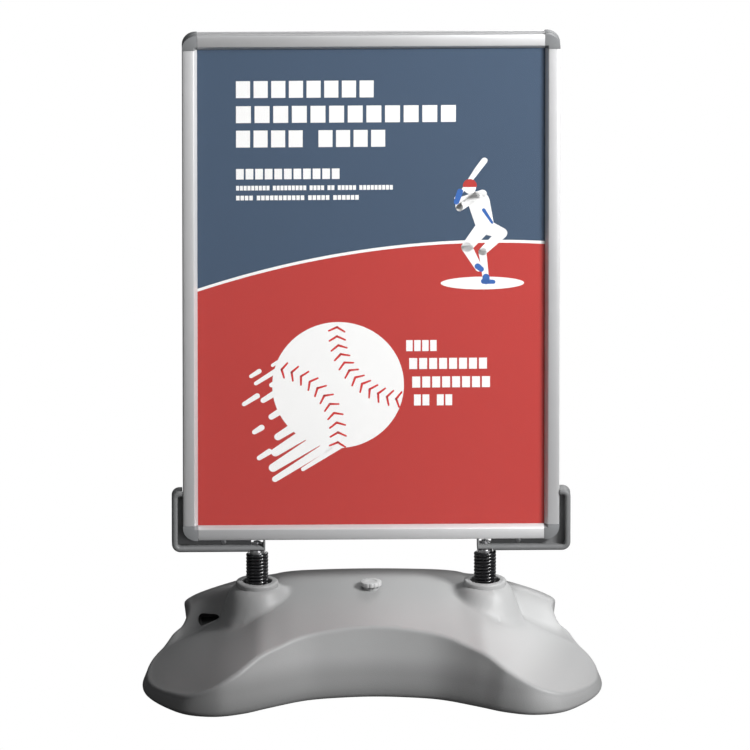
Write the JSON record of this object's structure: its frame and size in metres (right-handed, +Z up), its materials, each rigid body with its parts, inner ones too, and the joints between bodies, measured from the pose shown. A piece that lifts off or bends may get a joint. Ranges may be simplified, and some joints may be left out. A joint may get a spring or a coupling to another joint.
{
  "type": "poster sign",
  "caption": "Double-sided snap-frame poster sign on two closed-coil springs over a hollow moulded ballast base with a screw filler cap.",
  "frame": {"origin": "centre of the base's footprint on the ground, midway between the springs and in the sign's plane", "axes": "+Z up, +X to the right of someone facing the front, -Y towards the front"},
  "size_m": [0.762, 0.512, 1.1015],
  "materials": {
    "tank_plastic": "moulded polyethylene with a fine satin grain",
    "insert_brass": "turned",
    "anchor_steel": "zinc plated",
    "bolt_steel": "bright zinc plated",
    "spring_black": "gloss black powder coat",
    "seal_rubber": "smooth",
    "cap_plastic": "satin moulded",
    "plug_metal": "turned and zinc plated",
    "bracket_paint": "satin grey powder coat",
    "rivet_aluminium": "plain",
    "rail_aluminium": "satin anodised",
    "lid_aluminium": "satin anodised, fine lengthwise lines",
    "corner_plastic": "satin moulded",
    "panel_board": "smooth sheet",
    "poster_paper": "printed matt sheet",
    "cover_clear": "clear anti-glare sheet",
    "clip_steel": "spring steel"
  },
  "bodies": {
    "root": {"base_tank": "tank_plastic", "moulded_inserts": "insert_brass", "spring_anchors": "anchor_steel", "anchor_bolts": "bolt_steel", "spring_left": "spring_black", "spring_right": "spring_black"},
    "cap_seal": {"filler_seal": "seal_rubber"},
    "cap": {"filler_cap": "cap_plastic"},
    "sign": {"spring_cap_left": "plug_metal", "spring_cap_right": "plug_metal", "cap_bolts": "bolt_steel", "bracket_left": "bracket_paint", "bracket_right": "bracket_paint", "web_bolts": "bolt_steel", "web_nuts": "bolt_steel", "frame_rivets": "rivet_aluminium", "frame_spacers": "anchor_steel", "front_rail_left": "rail_aluminium", "front_rail_right": "rail_aluminium", "front_rail_top": "rail_aluminium", "front_rail_bottom": "rail_aluminium", "front_corner_top_left": "corner_plastic", "front_corner_top_right": "corner_plastic", "front_corner_bottom_left": "corner_plastic", "front_corner_bottom_right": "corner_plastic", "front_panel": "panel_board", "front_poster": "poster_paper", "front_cover": "cover_clear", "front_clips": "clip_steel", "rear_rail_left": "rail_aluminium", "rear_rail_right": "rail_aluminium", "rear_rail_top": "rail_aluminium", "rear_rail_bottom": "rail_aluminium", "rear_corner_top_left": "corner_plastic", "rear_corner_top_right": "corner_plastic", "rear_corner_bottom_left": "corner_plastic", "rear_corner_bottom_right": "corner_plastic", "rear_panel": "panel_board", "rear_poster": "poster_paper", "rear_cover": "cover_clear", "rear_clips": "clip_steel"},
    "front_lid_left": {"front_lid_left": "lid_aluminium"},
    "front_lid_right": {"front_lid_right": "lid_aluminium"},
    "front_lid_top": {"front_lid_top": "lid_aluminium"},
    "front_lid_bottom": {"front_lid_bottom": "lid_aluminium"},
    "rear_lid_left": {"rear_lid_left": "lid_aluminium"},
    "rear_lid_right": {"rear_lid_right": "lid_aluminium"},
    "rear_lid_top": {"rear_lid_top": "lid_aluminium"},
    "rear_lid_bottom": {"rear_lid_bottom": "lid_aluminium"}
  },
  "joints": [
    {"name": "lean", "type": "hinge", "parent": "root", "child": "sign", "pos_m": [0, 0, 0.18], "axis": [1, 0, 0], "range_deg": [-15, 15], "stiffness_Nm_per_rad": 400, "deforming": ["spring_left", "spring_right"]},
    {"name": "cap_rise", "type": "slide", "parent": "root", "child": "cap_seal", "axis": [0, 0, 1], "range_m": [0, 0.012]},
    {"name": "cap_turn", "type": "hinge", "parent": "cap_seal", "child": "cap", "pos_m": [0, 0, 0.15], "axis": [0, 0, 1], "range_deg": [0, 1080]},
    {"name": "open_front_left", "type": "hinge", "parent": "sign", "child": "front_lid_left", "pos_m": [-0.3093, -0.0109, 0.666], "axis": [0, 0, -1], "range_deg": [0, 80]},
    {"name": "open_front_right", "type": "hinge", "parent": "sign", "child": "front_lid_right", "pos_m": [0.3093, -0.0109, 0.666], "axis": [0, 0, 1], "range_deg": [0, 80]},
    {"name": "open_front_top", "type": "hinge", "parent": "sign", "child": "front_lid_top", "pos_m": [0, -0.0109, 1.0988], "axis": [-1, 0, 0], "range_deg": [0, 80]},
    {"name": "open_front_bottom", "type": "hinge", "parent": "sign", "child": "front_lid_bottom", "pos_m": [0, -0.0109, 0.2332], "axis": [1, 0, 0], "range_deg": [0, 80]},
    {"name": "open_rear_left", "type": "hinge", "parent": "sign", "child": "rear_lid_left", "pos_m": [0.3093, 0.0109, 0.666], "axis": [0, 0, -1], "range_deg": [0, 80]},
    {"name": "open_rear_right", "type": "hinge", "parent": "sign", "child": "rear_lid_right", "pos_m": [-0.3093, 0.0109, 0.666], "axis": [0, 0, 1], "range_deg": [0, 80]},
    {"name": "open_rear_top", "type": "hinge", "parent": "sign", "child": "rear_lid_top", "pos_m": [0, 0.0109, 1.0988], "axis": [1, 0, 0], "range_deg": [0, 80]},
    {"name": "open_rear_bottom", "type": "hinge", "parent": "sign", "child": "rear_lid_bottom", "pos_m": [0, 0.0109, 0.2332], "axis": [-1, 0, 0], "range_deg": [0, 80]}
  ],
  "couplings": [
    {"joint": "cap_rise", "follows": "cap_turn", "m_per_rad": 0.0006366}
  ]
}
